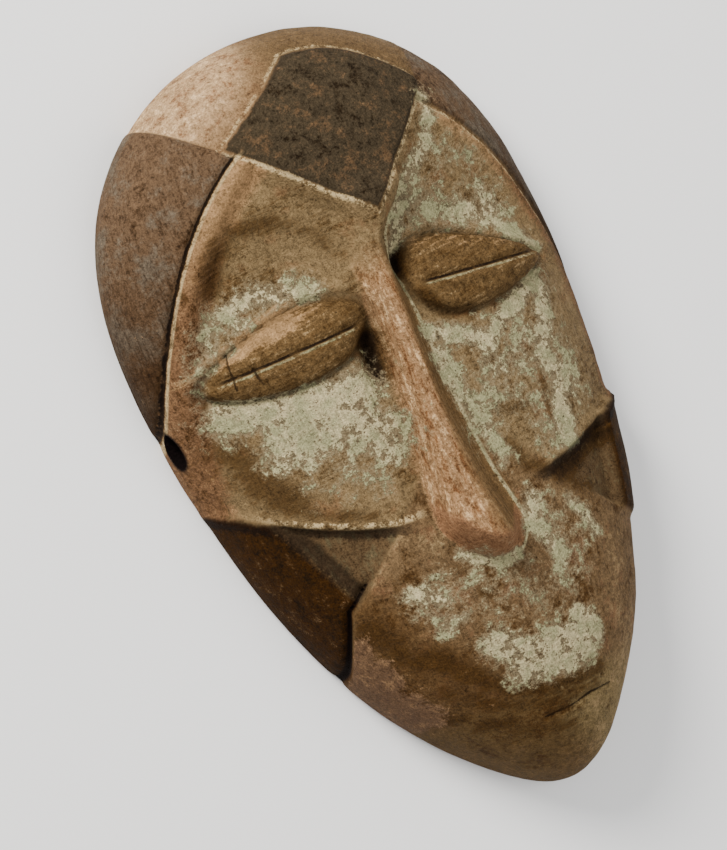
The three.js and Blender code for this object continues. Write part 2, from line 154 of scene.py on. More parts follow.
def on_side(x, key, middle=0.0):
    """A size that differs on the two sides of the line x = middle."""
    return np.where(x < middle, LEFT[key], RIGHT[key])


# Noise: random values on a grid of cells, joined smoothly, with a cell size in millimetres
def cell_values(cell, seed):
    """A value from -1 to 1 for each cell, by mixing the bits of its place."""
    mixed = cell[..., 0] * 73856093 ^ cell[..., 1] * 19349663 ^ cell[..., 2] * 83492791
    mixed = (mixed ^ seed * 2654435761) & 0xFFFFFFFF
    mixed = ((mixed >> 16) ^ mixed) * 0x45D9F3B & 0xFFFFFFFF
    mixed = ((mixed >> 16) ^ mixed) * 0x45D9F3B & 0xFFFFFFFF
    return (((mixed >> 16) ^ mixed) & 0xFFFF) / 32767.5 - 1.0


def noise(points, size, seed):
    """Smooth noise from -1 to 1 at points, with its humps about size apart."""
    place = points / size
    low = np.floor(place).astype(np.int64)
    t = place - low
    t = t * t * (3.0 - 2.0 * t)
    total = np.zeros(len(points))
    for corner in np.ndindex(2, 2, 2):
        share = np.prod(np.where(np.array(corner) == 1, t, 1.0 - t), axis=1)
        total += share * cell_values(low + np.array(corner), seed)
    return total


# The blank
def half_width_at(y):
    t = np.clip(y / HALF_LENGTH, -1.0, 1.0)
    return np.sqrt(1.0 - t * t) * polyval(t, OUTLINE)


def crest_at(y):
    t = np.clip(y / HALF_LENGTH, -1.0, 1.0)
    fall = (1.0 - np.abs(t) ** CREST_BLUNTNESS) ** CREST_ROUNDING
    return fall * polyval(t, CREST)


def blank_level(x, y, z):
    """Zero on the skin of the blank, negative inside."""
    across = (np.abs(x) / np.maximum(half_width_at(y), 1e-6)) ** SECTION_POWER
    up = (np.abs(z) / np.maximum(crest_at(y), 1e-6)) ** SECTION_POWER
    return across + up - 1.0


def blank_normals(points):
    """The direction out of the blank, kept level on the rim."""
    h = SMALL_STEP
    x, y, z = points.T
    y = np.clip(y, 2 * h - HALF_LENGTH, HALF_LENGTH - 2 * h)
    normals = np.stack([
        blank_level(x + h, y, z) - blank_level(x - h, y, z),
        blank_level(x, y + h, z) - blank_level(x, y - h, z),
        np.where(z < h, 0.0, blank_level(x, y, z + h) - blank_level(x, y, z - h)),
    ], axis=1)
    normals[:, 1] += 1e-9 * np.sign(y)  # so that the two end points face along the mask
    return normals / np.linalg.norm(normals, axis=1, keepdims=True)


def face_drawing(points):
    """Where points lie in the face's own drawing, seen from the front."""
    cos, sin = math.cos(FACE_LEAN), math.sin(FACE_LEAN)
    x, y = points[:, 0], points[:, 1]
    return x * cos - y * sin + FACE_SHIFT, x * sin + y * cos


# Distances in the face drawing, positive inside the named form
def oval(x, y, form):
    return bump(x - form["x"], form["half_width"]) * bump(y - form["y"], form["half_height"])


def ring_distance(x, y):
    u = x / RING["half_width"]
    v = (y - RING["y"]) / RING["half_height"]
    reach = np.hypot(u, v)
    slope = np.hypot(u / RING["half_width"], v / RING["half_height"])
    return (1.0 - reach) * reach / np.maximum(slope, 1e-4)


def below_brow(x, y):
    slope = np.where(x < BROW["x"], BROW["left_slope"], BROW["right_slope"])
    return (BROW["y"] + slope * np.abs(x - BROW["x"]) - y) / np.hypot(1.0, slope)


def below_temple_corner(x, y):
    slope = on_side(x, "corner_slope")
    line = on_side(x, "corner_y") + slope * (np.abs(x) - on_side(x, "corner_x"))
    return (line - y) / np.hypot(1.0, slope)


def temple_distance(x, y):
    return np.minimum(below_temple_corner(x, y), -ring_distance(x, y))


def forehead_distance(x, y):
    round_top = FOREHEAD["top"] - FOREHEAD["curve"] * x * x - y
    slope = FOREHEAD["left_slope"]
    slanted = (FOREHEAD["left_top"] + slope * x - y) / math.hypot(1.0, slope)
    below_top = np.minimum(round_top, slanted)
    return np.minimum(np.minimum(below_top, -below_brow(x, y)), -temple_distance(x, y))


def ridge_distance(x, y):
    """How far a place lies below the ridge that closes the cheek."""
    out = np.maximum(0.0, np.abs(x - JAW["shift"]) - JAW["apex_x"])
    curve = on_side(x, "ridge_curve", JAW["shift"])
    return JAW["apex_y"] + JAW["ridge_slope"] * out + curve * out * out - y


def crease_distance(x, y):
    """How far a place lies outside the crease between the sunk facet and the outer band."""
    slope = on_side(x, "crease_slope", JAW["shift"])
    line = on_side(x, "crease_x", JAW["shift"]) + slope * (y - JAW["crease_y"])
    return (np.abs(x - JAW["shift"]) - line) / np.hypot(1.0, slope)


def muzzle_distance(x, y):
    a = np.abs(x - JAW["shift"])
    slope = on_side(x, "muzzle_slope", JAW["shift"])
    slanted = (JAW["apex_y"] - slope * (a - JAW["apex_x"]) - y) / np.hypot(1.0, slope)
    bow = JAW["bow"] * bump(y - JAW["bow_y"], JAW["bow_half_height"])
    return np.minimum(slanted, on_side(x, "muzzle_side", JAW["shift"]) + bow - a)


def nose_frame(x, y):
    """How far down the nose a place is, where the foot of its flank lies and how wide the flank is."""
    down = np.clip((NOSE["top"] - y) / (NOSE["top"] - NOSE["tip"]), 0.0, 1.0)

    def size(key):
        return np.where(x < 0.0, NOSE_LEFT[key], NOSE_RIGHT[key])

    foot = lerp(size("top"), size("tip"), down ** size("flare"))
    foot = foot + size("swing") * step(*NOSE_SWING, y)
    return down, foot, lerp(size("top_flank"), size("tip_flank"), down)


def above_nose_end(x, y):
    return y - NOSE["end_rounding"] * (x - NOSE["end_x"]) ** 2 - NOSE["end"]


def beyond_nose(x, y):
    """How far a place lies outside the foot of the nose, whose end is rounded."""
    aside = np.abs(x) - nose_frame(x, y)[1] + NOSE["foot_rounding"]
    below = NOSE["foot_rounding"] - above_nose_end(x, y)
    past = np.hypot(np.maximum(aside, 0.0), np.maximum(below, 0.0))
    return past + np.minimum(np.maximum(aside, below), 0.0) - NOSE["foot_rounding"]


def eye_frame(x, y, eye):
    """Along and across the eye, each 1 at its outline, and the height over its slit."""
    along = (x - eye["x"]) / eye["half_length"]
    half_height = eye["half_height"] * (1.0 - eye["taper"] * np.clip(along, -1.0, 1.0))
    across = (y - eye["y"] - eye["tilt"] * (x - eye["x"])) / half_height
    return along, across, y - eye["slit_y"] - eye["slit_tilt"] * (x - eye["x"])


# Carved heights over the blank
def outer_height(x, y):
    temple = step(-CRISP, CRISP, below_temple_corner(x, y)) * step(-CRISP, CRISP, -ring_distance(x, y))
    forehead = step(-CRISP, CRISP, forehead_distance(x, y))
    return on_side(x, "temple_proud") * temple + FOREHEAD["proud"] * forehead


def eye_height(x, y):
    height = np.zeros_like(x)
    for eye in EYES:
        along, across, over_slit = eye_frame(x, y, eye)
        reach = np.hypot(along, across)
        lens = np.maximum(0.0, 1.0 - reach ** 2) ** EYE["fullness"]
        opened = step(1.0, EYE["slit_share"], np.abs(along)) * (reach < 1.0)
        height += EYE["proud"] * lens
        height -= EYE["slit_depth"] * opened * bump(over_slit, EYE["slit_half_width"])
        height += EYE["lip_proud"] * opened * bump(over_slit + EYE["lip_off"], EYE["lip_half_width"])
        rim = (reach - 1.0) * eye["half_height"]
        height -= EYE["crease_depth"] * bump(rim, EYE["crease_half_width"])
        lid = bump(rim - EYE["lid_off"], EYE["lid_half_width"])
        height += EYE["lid_proud"] * lid * step(*EYE["lid_rise"], across)
    return height


def face_height(x, y):
    ring = ring_distance(x, y)
    edge = np.minimum(ring - on_side(x, "border_width"), below_brow(x, y))
    border = 1.0 - step(0.0, on_side(x, "border_fall"), edge)
    floor = eye_height(x, y) - CHEEK_DEPTH - SOCKET["depth"] * oval(np.abs(x), y, SOCKET)
    for pit in PITS:
        floor = floor - pit["depth"] * oval(x, y, pit)
    across = step(-SIDE_BLEND, SIDE_BLEND, x)
    floor = lerp(floor, lerp(LEFT["border_proud"], RIGHT["border_proud"], across), border)
    return floor - GROOVE["depth"] * bump(ring, GROOVE["half_width"])


def nose_height(x, y):
    down, foot, flank = nose_frame(x, y)
    across = step(foot, foot - flank, np.abs(x))
    ends = step(NOSE["top"], NOSE["top"] - NOSE["fade"], y)
    ends = ends * step(0.0, NOSE["tip"] - NOSE["end"], above_nose_end(x, y))
    return lerp(NOSE["top_height"], NOSE["tip_height"], down) * across * ends


def chin_groove(x, y):
    top, bottom, fade = CHIN_GROOVE["top"], CHIN_GROOVE["bottom"], CHIN_GROOVE["fade"]
    along = step(top + fade, top, y) * step(bottom - fade, bottom, y) * (x < JAW["shift"])
    return along * bump(muzzle_distance(x, y) + CRISP, CHIN_GROOVE["half_width"])


def jaw_height(x, y):
    band = step(-WORN, WORN, crease_distance(x, y))
    facet = -lerp(JAW["facet_depth"], on_side(x, "band_depth", JAW["shift"]), band)
    across = step(-SIDE_BLEND, 2 * SIDE_BLEND, x)
    muzzle = lerp(LEFT["muzzle_proud"], RIGHT["muzzle_proud"], across)
    muzzle = muzzle + BULGE["proud"] * oval(x, y, BULGE)
    lower = step(CHIN_GROOVE["top"] + MUZZLE_HARDENS, CHIN_GROOVE["top"], y)
    softness = lerp(JAW["top_softness"], JAW["low_softness"], lower)
    on_muzzle = step(-softness, softness, muzzle_distance(x, y))
    return lerp(facet, muzzle, on_muzzle) - CHIN_GROOVE["depth"] * chin_groove(x, y)


def relief_at(x, y):
    """The carved height over the blank at places in the face drawing."""
    a = np.abs(x - JAW["shift"])
    in_face = step(-CRISP, CRISP, ring_distance(x, y)) * step(-CRISP, CRISP, below_brow(x, y))
    upper = lerp(outer_height(x, y), face_height(x, y), in_face)
    under_ridge = ridge_distance(x, y)
    outward = step(JAW["apex_x"] - JAW["inner_blend"], JAW["apex_x"] + JAW["inner_blend"], a)
    blend = lerp(JAW["inner_blend"], CRISP, outward)
    below = step(-blend, blend, under_ridge)
    ridge = JAW["ridge_proud"] * bump(under_ridge, JAW["ridge_half_width"]) * outward
    return lerp(upper, jaw_height(x, y), below) + ridge + nose_height(x, y)


# Cracks, each a line in the face drawing: two checks in the left eye's tip and a split along the chin
CRACKS = (
    ((-27.3, 19.9), (-27.0, 14.4)),
    ((-24.1, 16.8), (-23.3, 14.1)),
    ((2.2, -50.3), (6.5, -50.2), (10.5, -49.4), (15.2, -49.6)),
)
CRACK = dict(depth=0.3, half_width=0.35)


def line_distance(x, y, line):
    nearest = np.full_like(x, np.inf)
    for (ax, ay), (bx, by) in zip(line, line[1:]):
        length = math.hypot(bx - ax, by - ay)
        along = np.clip(((x - ax) * (bx - ax) + (y - ay) * (by - ay)) / length ** 2, 0.0, 1.0)
        nearest = np.minimum(nearest, np.hypot(x - ax - along * (bx - ax), y - ay - along * (by - ay)))
    return nearest


def crack_depth(x, y):
    nearest = np.min([line_distance(x, y, line) for line in CRACKS], axis=0)
    return CRACK["depth"] * bump(nearest, CRACK["half_width"])


# The blank as a fine closed mesh: outer skin, rim and hollow
def evenly(count, place_at):
    """Parameters from 0 to pi whose places along a curve are evenly spaced."""
    turn = np.linspace(0.0, math.pi, CURVE_SAMPLES)
    places = place_at(turn)
    lengths = np.linalg.norm(np.diff(places, axis=0), axis=1)
    run = np.concatenate([[0.0], np.cumsum(lengths)])
    return np.interp(np.linspace(0.0, run[-1], count + 1), run, turn)


def lengthwise(count):
    """Stations from the chin to the crown, evenly spaced along a line part of the way down the side."""
    def place_at(turn):
        y = -HALF_LENGTH * np.cos(turn)
        return np.stack([half_width_at(y) / 2, y, crest_at(y)], axis=1)
    return -HALF_LENGTH * np.cos(evenly(count, place_at))


def section_points(turn):
    """Places on the rounded section, 1 wide to each side and 1 high."""
    cos, sin = np.cos(turn), np.maximum(np.sin(turn), 0.0)
    sin[[0, -1]] = 0.0
    x = -np.sign(cos) * np.abs(cos) ** (2 / SECTION_POWER)
    return np.stack([x, sin ** (2 / SECTION_POWER)], axis=1)


def crosswise(count):
    turn = evenly(count, lambda turn: section_points(turn) * (OUTLINE[0], CREST[0]))
    return section_points(turn)


def dome_points(stations, section, share):
    """The points of a dome, row by row, between the chin point and the crown point."""
    y = stations[1:-1, None]
    x = section[None, :, 0] * half_width_at(y) * share[0]
    z = section[None, :, 1] * crest_at(y) * share[2]
    rows = np.stack(np.broadcast_arrays(x, y * share[1], z), axis=2).reshape(-1, 3)
    ends = np.array([[0.0, -HALF_LENGTH * share[1], 0.0], [0.0, HALF_LENGTH * share[1], 0.0]])
    return np.concatenate([ends[:1], rows, ends[1:]])


def dome_faces(rows, columns, first, inward):
    """The faces of a dome whose points start at first."""
    def at(row, column):
        return first + 1 + row * (columns + 1) + column
    chin, last = first, rows - 2
    crown = at(last, columns) + 1
    faces = [
        (at(r, c), at(r, c + 1), at(r + 1, c + 1), at(r + 1, c))
        for r in range(last) for c in range(columns)
    ]
    faces += [(chin, at(0, c + 1), at(0, c)) for c in range(columns)]
    faces += [(crown, at(last, c), at(last, c + 1)) for c in range(columns)]
    return [face[::-1] for face in faces] if inward else faces


def dome_edge(rows, columns, first):
    """The points round a dome's edge: up its right side and down its left."""
    right = [first + 1 + r * (columns + 1) + columns for r in range(rows - 1)]
    left = [first + 1 + r * (columns + 1) for r in range(rows - 1)]
    return [first, *right, right[-1] + 1, *left[::-1]]


def blank_mesh():
    stations = lengthwise(ROWS)
    skin = dome_points(stations, crosswise(COLUMNS), (1.0, 1.0, 1.0))
    hollow = dome_points(stations, crosswise(HOLLOW_COLUMNS), HOLLOW_SHARE)
    points = [skin, hollow]
    faces = dome_faces(ROWS, COLUMNS, 0, False)
    faces += dome_faces(ROWS, HOLLOW_COLUMNS, len(skin), True)
    outer = dome_edge(ROWS, COLUMNS, 0)
    inner = dome_edge(ROWS, HOLLOW_COLUMNS, len(skin))
    loops = [outer]
    count = len(skin) + len(hollow)
    inner_share = HOLLOW_SHARE[0]
    for share in RIM_BANDS:
        across = (share - inner_share) / (1.0 - inner_share)
        points.append(lerp(hollow[np.array(inner) - len(skin)], skin[outer], across))
        loops.append(list(range(count, count + len(outer))))
        count += len(outer)
    loops.append(inner)
    for near, far in zip(loops, loops[1:]):
        for i in range(len(near)):
            j = (i + 1) % len(near)
            faces.append((near[i], far[i], far[j], near[j]))
    return np.concatenate(points), faces


def mesh_object(name, points, faces):
    mesh = bpy.data.meshes.new(name)
    mesh.from_pydata((points * MM).tolist(), [], faces)
    mesh.update()
    piece = bpy.data.objects.new(name, mesh)
    bpy.context.scene.collection.objects.link(piece)
    return piece


def ear_pin(sign):
    """An oval pin along X that cuts one ear hole."""
    turn = np.linspace(0.0, 2 * math.pi, EAR_PIN["sides"], endpoint=False)
    y = EAR_HOLE["left_y"] if sign < 0 else EAR_HOLE["right_y"]
    middle = sign * float(half_width_at(np.array(y)))
    ends = []
    for x in (middle - EAR_PIN["length"] / 2, middle + EAR_PIN["length"] / 2):
        ends.append(np.stack([
            np.full_like(turn, x),
            y + EAR_HOLE["half_length"] * np.cos(turn),
            EAR_HOLE["z"] + EAR_HOLE["half_height"] * np.sin(turn),
        ], axis=1))
    n = len(turn)
    faces = [(i, (i + 1) % n, n + (i + 1) % n, n + i) for i in range(n)]
    faces += [tuple(range(n))[::-1], tuple(range(n, 2 * n))]
    return mesh_object("ear_pin", np.concatenate(ends), faces)


def cut_ear_holes(piece):
    pins = [ear_pin(-1), ear_pin(1)]
    for pin in pins:
        cut = piece.modifiers.new("ear hole", "BOOLEAN")
        cut.operation = "DIFFERENCE"
        cut.solver = "MANIFOLD"
        cut.object = pin
    graph = bpy.context.evaluated_depsgraph_get()
    holed = bpy.data.meshes.new_from_object(piece.evaluated_get(graph))
    piece.modifiers.clear()
    piece.data = holed
    for pin in pins:
        bpy.data.objects.remove(pin)


def read_points(mesh):
    flat = np.zeros(len(mesh.vertices) * 3, np.float32)
    mesh.vertices.foreach_get("co", flat)
    return flat.reshape(-1, 3).astype(float) / MM


def carve(piece):
    """Moves the skin's points to the carving, and keeps what the material reads at each point."""
    points = read_points(piece.data)
    x, y = face_drawing(points)
    from_end = HALF_LENGTH - np.abs(points[:, 1])
    on_skin = (blank_level(*points.T) > -SKIN_TOLERANCE) | (from_end < SMALL_STEP)
    share = lerp(RIM["relief_share"], 1.0, step(0.0, RIM["height"], points[:, 2]))
    height = share * relief_at(x, y) - crack_depth(x, y)
    uneven = sum(depth * noise(points, size, seed) for depth, size, seed in UNEVENNESS)
    height += step(*UNEVENNESS_FADE, from_end) * share * uneven
    height -= RIM["worn"] * step(RIM["worn_height"], 0.0, points[:, 2]) ** 2
    moved = points.copy()
    moved[on_skin] += height[on_skin, None] * blank_normals(points[on_skin])
    moved[:, 2] = np.maximum(moved[:, 2], 0.0)
    moved[:, 2] += gouge_cuts(points, on_skin)
    piece.data.vertices.foreach_set("co", (moved * MM).astype(np.float32).ravel())
    piece.data.update()
    store_paint_values(piece.data, points, x, y, on_skin)


def gouge_cuts(points, on_skin):
    """How far the hollow's points are pushed up by the short cuts of the gouge."""
    z = points[:, 2]
    cuts = GOUGE["depth"] * np.abs(noise(points * GOUGE["stretch"], GOUGE["size"], GOUGE["seed"]))
    cuts += GOUGE_ROUGHNESS["depth"] * noise(points, GOUGE_ROUGHNESS["size"], GOUGE_ROUGHNESS["seed"])
    inside = ~on_skin & (z > GOUGE["start"])
    return np.where(inside, cuts * step(GOUGE["start"], GOUGE["full"], z), 0.0)


# Where colours begin and end in the face drawing
BORDER_PAINT = dict(left=5.2, right=2.0)  # how far in from the ring the reddish border reaches
NOSE_PAINT_TOP = NOSE["top"] - 6.0
FAR_OFF = 9.0  # a distance at which no form or line shows
NO_FLANK = -4.0  # the nose's left side has no dark flank
CLAY_OFF_EYE = (0.9, -0.3)  # clay gives way over this stretch inside an eye's outline
PINK_CLAY_EDGE = (-0.3, 0.6)
SLIT_PAINT = (0.85, 0.7)
# Where the painted highlight on the upper lids lies: on the left eye it fades out towards the nose
LID_PAINT = dict(left_fade=(0.9, -0.1), right=0.45, rise=(0.25, 0.75), reach=(1.5, 1.15))
EAR_DIRT = dict(reach=(1.35, 1.0), beyond_x=20.0)
# Where each line runs: it is full where every named value is past the second of its two numbers
LINES = {
    "on_brow": (("ring", -0.5, 0.5), ("off_brow_tip", 0.3, 2.0)),
    "on_left": (("x", 1.0, -1.0), ("brow", -1.0, 1.0), ("ridge", 0.5, -1.5)),
    "on_right": (("x", -1.0, 1.0), ("brow", -1.0, 1.0), ("ridge", 0.5, -1.5), ("y", 14.0, 24.0)),
    "on_ridge": (("off_middle", 7.0, 12.0), ("off_middle", 33.0, 26.0), ("jaw_x", 1.0, -1.0)),
    "under_ridge": (("off_middle", 9.0, 14.0),),
    "beside_nose": (("x", -1.0, 1.0), ("y", 38.0, 33.0)),
    "below_nose": (("y", -21.0, -24.0),),
    "on_crease": (("jaw_x", 1.0, -1.0), ("ridge", 0.0, 2.0), ("muzzle", 0.5, -0.5)),
}


# What the material reads: a named number at each point of the surface
def store_paint_values(mesh, points, x, y, on_skin):
    ring = ring_distance(x, y)
    brow = below_brow(x, y)
    ridge = ridge_distance(x, y)
    muzzle = muzzle_distance(x, y)
    in_face = np.minimum(ring, brow)
    border = np.where(x < 0.0, BORDER_PAINT["left"], BORDER_PAINT["right"])
    _, foot, flank = nose_frame(x, y)
    eyes = eye_values(x, y)
    values = {
        "skin": on_skin,
        "across_face": x,
        "up_face": y,
        "ring": ring,
        "brow": brow,
        "ridge": ridge,
        "forehead": forehead_distance(x, y),
        "temple": np.minimum(temple_distance(x, y), -ridge),
        "face": in_face,
        "border": np.minimum(in_face, border - ring),
        "nose": np.minimum(-beyond_nose(x, y), NOSE_PAINT_TOP - y),
        "nose_foot": beyond_nose(x, y),
        "nose_flank": np.where(x < 0.0, NO_FLANK, x - foot + flank),
        "nose_end": above_nose_end(x, y) - (NOSE["tip"] - NOSE["end"]),
        "jaw": np.minimum(ridge, -muzzle),
        "band": crease_distance(x, y),
        "muzzle": muzzle,
        "clay": amount_along(x, y, CLAY_STROKES) * step(*CLAY_OFF_EYE, eyes["eye"]),
        "pink_clay": amount_along(x, y, PINK_STROKES) * step(*PINK_CLAY_EDGE, muzzle),
        "stain_and_shade": amount_along(x, y, STAIN_AND_SHADE_STROKES),
        "ear_hole": ear_hole_share(points),
        **eyes,
        "chin_groove": chin_groove(x, y),
        **line_places(x, y, ring, brow, ridge, muzzle),
    }
    for name, value in values.items():
        layer = mesh.attributes.new(name, "FLOAT", "POINT")
        layer.data.foreach_set("value", np.broadcast_to(value, x.shape).astype(np.float32))


def eye_values(x, y):
    """How far inside an eye a place is, how far over its slit, and how strong the painted highlight on
    its upper lid is.
    """
    inside = np.full_like(x, -FAR_OFF)
    over = np.where(x < 0.0, *(eye_frame(x, y, eye)[2] for eye in EYES))
    on_slit = np.zeros_like(x)
    lid = np.zeros_like(x)
    for eye in EYES:
        along, across, _ = eye_frame(x, y, eye)
        reach = np.hypot(along, across)
        inside = np.maximum(inside, (1.0 - reach) * eye["half_height"])
        on_slit = np.maximum(on_slit, step(*SLIT_PAINT, np.abs(along)))
        strength = step(*LID_PAINT["left_fade"], along) if eye["x"] < 0.0 else LID_PAINT["right"]
        strength = strength * step(*LID_PAINT["rise"], across) * step(*LID_PAINT["reach"], reach)
        lid = np.maximum(lid, strength)
    return {"eye": inside, "over_slit": over, "on_slit": on_slit, "lid": lid}


def line_places(x, y, ring, brow, ridge, muzzle):
    """Where each line runs, from 0 to 1: the lines of clay, pale wood, dirt, painted highlight and
    painted shade.
    """
    jaw_x = x - JAW["shift"]
    at = dict(x=x, y=y, jaw_x=jaw_x, off_middle=np.abs(jaw_x), off_brow_tip=np.abs(x - BROW["x"]),
              ring=ring, brow=brow, ridge=ridge, muzzle=muzzle)
    places = {
        name: np.prod([step(start, end, at[key]) for key, start, end in limits], axis=0)
        for name, limits in LINES.items()
    }
    places["beside_nose"] = np.maximum(places["beside_nose"], places.pop("below_nose"))
    return places


def ear_hole_share(points):
    """1 on the wall of an ear hole, 0 a little way outside it."""
    y = np.where(points[:, 0] < 0.0, EAR_HOLE["left_y"], EAR_HOLE["right_y"])
    along = (points[:, 1] - y) / EAR_HOLE["half_length"]
    up = (points[:, 2] - EAR_HOLE["z"]) / EAR_HOLE["half_height"]
    in_hole = step(*EAR_DIRT["reach"], np.hypot(along, up))
    return in_hole * (np.abs(points[:, 0]) > EAR_DIRT["beyond_x"])


# White clay, brown stains mixed with painted shade, and pinkish dirty clay, each a line in the face
# drawing with the half width and the amount of what has stayed or is painted along it
CLAY_STROKES = (
    ((-29.8, 12), (-30, 18), (-28.6, 23.5), 2.7, 0.72),
    ((-27.5, 20), (-24, 23.4), 2.2, 0.65),
    ((-26.5, 26), (-20, 26.6), (-11.5, 25), 2.4, 0.81),
    ((-29, 11), (-23.5, 9.8), (-19, 8), (-9, 8.2), 3.9, 1.23),
    ((-22, 4), (-15, 5), 4.8, 1.1),
    ((-11.5, 4), (-8.5, 0.5), 4.8, 1.06),
    ((-20, -0.5), (-12, -3), 5.2, 0.44),
    ((-21, -5), (-11, -7), 3.2, 0.24),
    ((4.6, 12.4), (9, 10.9), (14.3, 8.1), (18.4, 10.8), 1.8, 1.1),
    ((18.4, 10.8), (22, 12), (27, 15.3), 2, 1.02),
    ((26.8, 22.8), (29.3, 20.2), (30, 18.2), 1.7, 1.15),
    ((24.3, 31), (24, 26), (26.8, 22.8), 1.5, 0.81),
    ((27.8, 12), (26.2, 8.6), (23, 2.4), 2.6, 0.95),
    ((23, 2.4), (25.4, -1), (23.3, -5), (22, -10.5), 2.6, 1.15),
    ((4.8, 9), (5.5, 4.5), (7, 0), (8.2, -5), 2.2, 0.85),
    ((8.2, -5), (9.6, -10), 2.0, 0.65),
    ((10.7, 1.6), (12, -0.8), 1.7, 0.7),
    ((13, 9), (14, 3), (20, 4.5), (19, 9), 3.9, 0.6),
    ((9, -3), (13, 1), (17, -3), (20, -8), 5, 0.48),
    ((24, 8), (27, 3), (27, -4), 4, 0.52),
    ((10, 32), (17, 29), (25, 27.5), 3.8, 0.74),
    ((18, 47), (16.5, 41), (11, 36.5), 2, 0.81),
    ((9, 35), (6.6, 30.5), (4.6, 27.5), 1.7, 0.95),
    ((12, 33), (20, 38), (24, 36), 3.4, 0.35),
    ((11.2, -17.3), (9.9, -21.1), (11.9, -25.4), (12.4, -27.5), 2.2, 0.95),
    ((17.7, -19.8), (19.6, -22.9), (20.8, -26), 1.5, 0.8),
    ((13, -20), (15, -24), (13, -30), 4, 0.4),
    ((-12.2, -24.3), (-8.3, -26.8), 1.9, 0.8),
    ((-9.5, -31.2), (-6.3, -30.3), 1.5, 0.7),
    ((-12.2, -27.5), (-9, -29), 2, 0.5),
    ((-3.5, -21.3), (1, -23.9), (5, -24.2), 1.5, 0.77),
    ((-5, -25), (3, -28), (11, -31), 5, 0.37),
    ((-3, -36), (0, -38.4), (5.3, -39.6), 2.6, 0.95),
    ((5.3, -39.6), (11, -40), 2.9, 1.25),
    ((11.8, -36.4), (14, -39), (14.6, -41.5), 1.6, 1.15),
    ((0, -41.2), (7.6, -42.9), (11.5, -42), 2.4, 1.15),
)
STAIN_AND_SHADE_STROKES = (
    # The first two strokes: the pits at the eyes' inner corners, a near-black painted shadow
    ((-5.6, 9), (-5, 15), 2.2, 1.7),
    ((4, 23.5), (4.6, 26.5), 1.8, 1.7),
    ((5.5, 19), (8, 14.4), (13, 13), 1.4, 0.85),
    # The next two strokes: painted shade on the left socket's upper wall, under the border and the brow
    ((-26.5, 30), (-24.5, 34), (-20.5, 37.4), (-14, 37), 2.3, 0.95),
    ((-14, 37), (-8, 33), (-5, 29), 2, 0.6),
    ((11.5, 5), (13.8, 5.6), 1.5, 0.9),
    ((10.6, -2.2), (15.6, -3.2), 1.8, 0.95),
    ((11, -8), (12.6, -11.5), (15.5, -13.5), 2, 0.9),
    ((20.2, -7), (21.4, -1), (22, 0.6), 1.4, 0.9),
    ((26.8, 4.6), (28.8, -1.3), 1.6, 0.63),
    ((-17, 2), (-13.6, 0.9), 1, 1.17),
    ((-30.5, 6), (-28.5, 0), (-24, -5.5), 3.8, 1.0),
    ((-24, -7.4), (-14, -11.2), 1.8, 0.75),
    ((-5.4, -22.8), (-3.9, -24.2), 1.6, 0.81),
    ((-2.4, -27.7), (-1.3, -28.3), 1.3, 1.08),
    ((18, -15.6), (22.5, -14.8), (27, -12.6), (31, -13), 2.3, 1.35),
    ((19, -17.6), (23, -19.5), 2.2, 0.85),
    ((-19.5, -27.5), (-17.2, -30.5), (-15.2, -33.6), (-10.8, -36), (-7, -39.4), 2.5, 1.03),
    # The strokes from here to the end: painted shade along and under the chin's edge, with stains
    ((-7, -39.4), (-3.4, -43.2), (4, -46), (13, -46), 2, 1.03),
    ((-11, -41), (-5, -45.5), (4, -48.2), (12, -48), 1.7, 0.77),
    ((-15, -44.5), (-9, -46.3), 1.3, 0.95),
    ((-7, -48.5), (-3, -49), 1.4, 0.95),
    ((-3, -51), (6, -53), 2.3, 0.63),
)
PINK_STROKES = (
    ((-22, -31), (-21, -36), (-17.5, -41), (-14, -45), 2.9, 1.1),
    ((-18.4, -34), (-17, -37.8), 1.3, 0.95),
)


def amount_along(x, y, strokes):
    """The largest amount that any stroke leaves at a place."""
    total = np.zeros_like(x)
    for *line, half_width, amount in strokes:
        total = np.maximum(total, amount * bump(line_distance(x, y, line), half_width))
    return total


# The material's nodes
NOISE_GAIN = 3.2  # spreads a noise texture's values out to about -1 and 1


